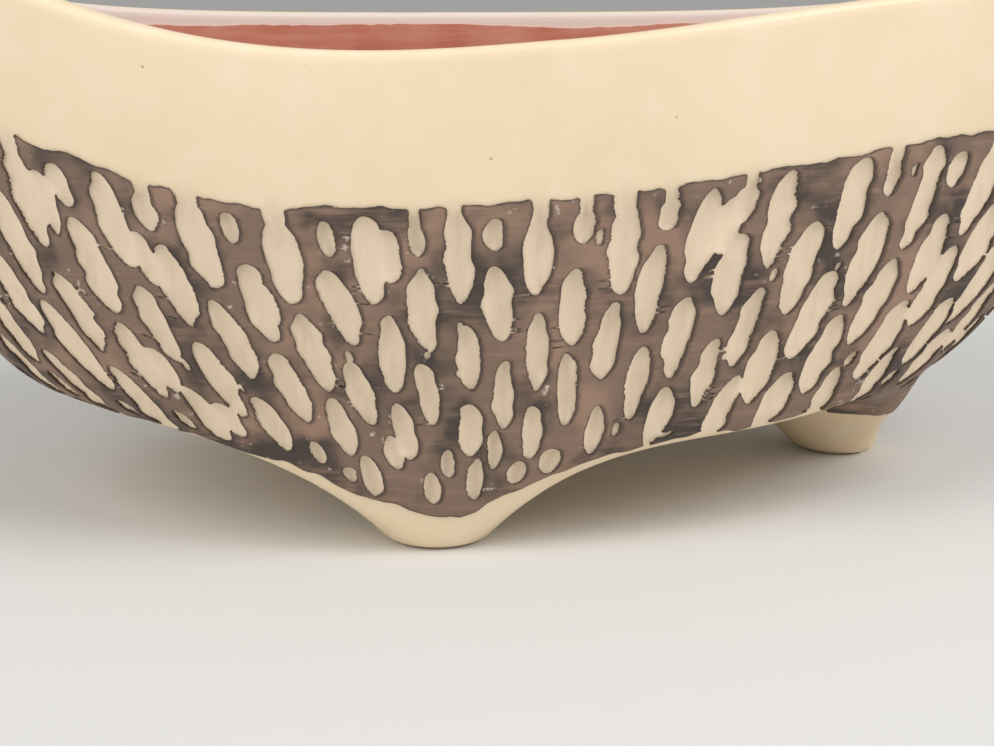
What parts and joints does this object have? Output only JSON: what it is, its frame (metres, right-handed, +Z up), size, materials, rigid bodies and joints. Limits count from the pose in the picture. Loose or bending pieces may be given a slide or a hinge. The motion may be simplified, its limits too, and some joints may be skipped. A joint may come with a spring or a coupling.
{
  "type": "jardiniere",
  "caption": "Boat-shaped oval ceramic plant pot on short round feet, with a plain cream collar over a carved brown slip band and a coral inside.",
  "frame": {"origin": "on the ground, below the middle of the bowl's length and width", "axes": "+X along the bowl towards its lower end, +Y to the rear, +Z up"},
  "size_m": [0.384, 0.209, 0.177],
  "materials": {
    "clay": "satin cream clay",
    "brown_slip": "matt brushed slip",
    "coral_coat": "matt coral coat"
  },
  "bodies": {
    "root": {"bowl": "clay", "front_foot": "clay", "rear_foot": "clay", "end_foot": "clay", "slip_band": "brown_slip", "lining": "coral_coat"}
  },
  "joints": []
}
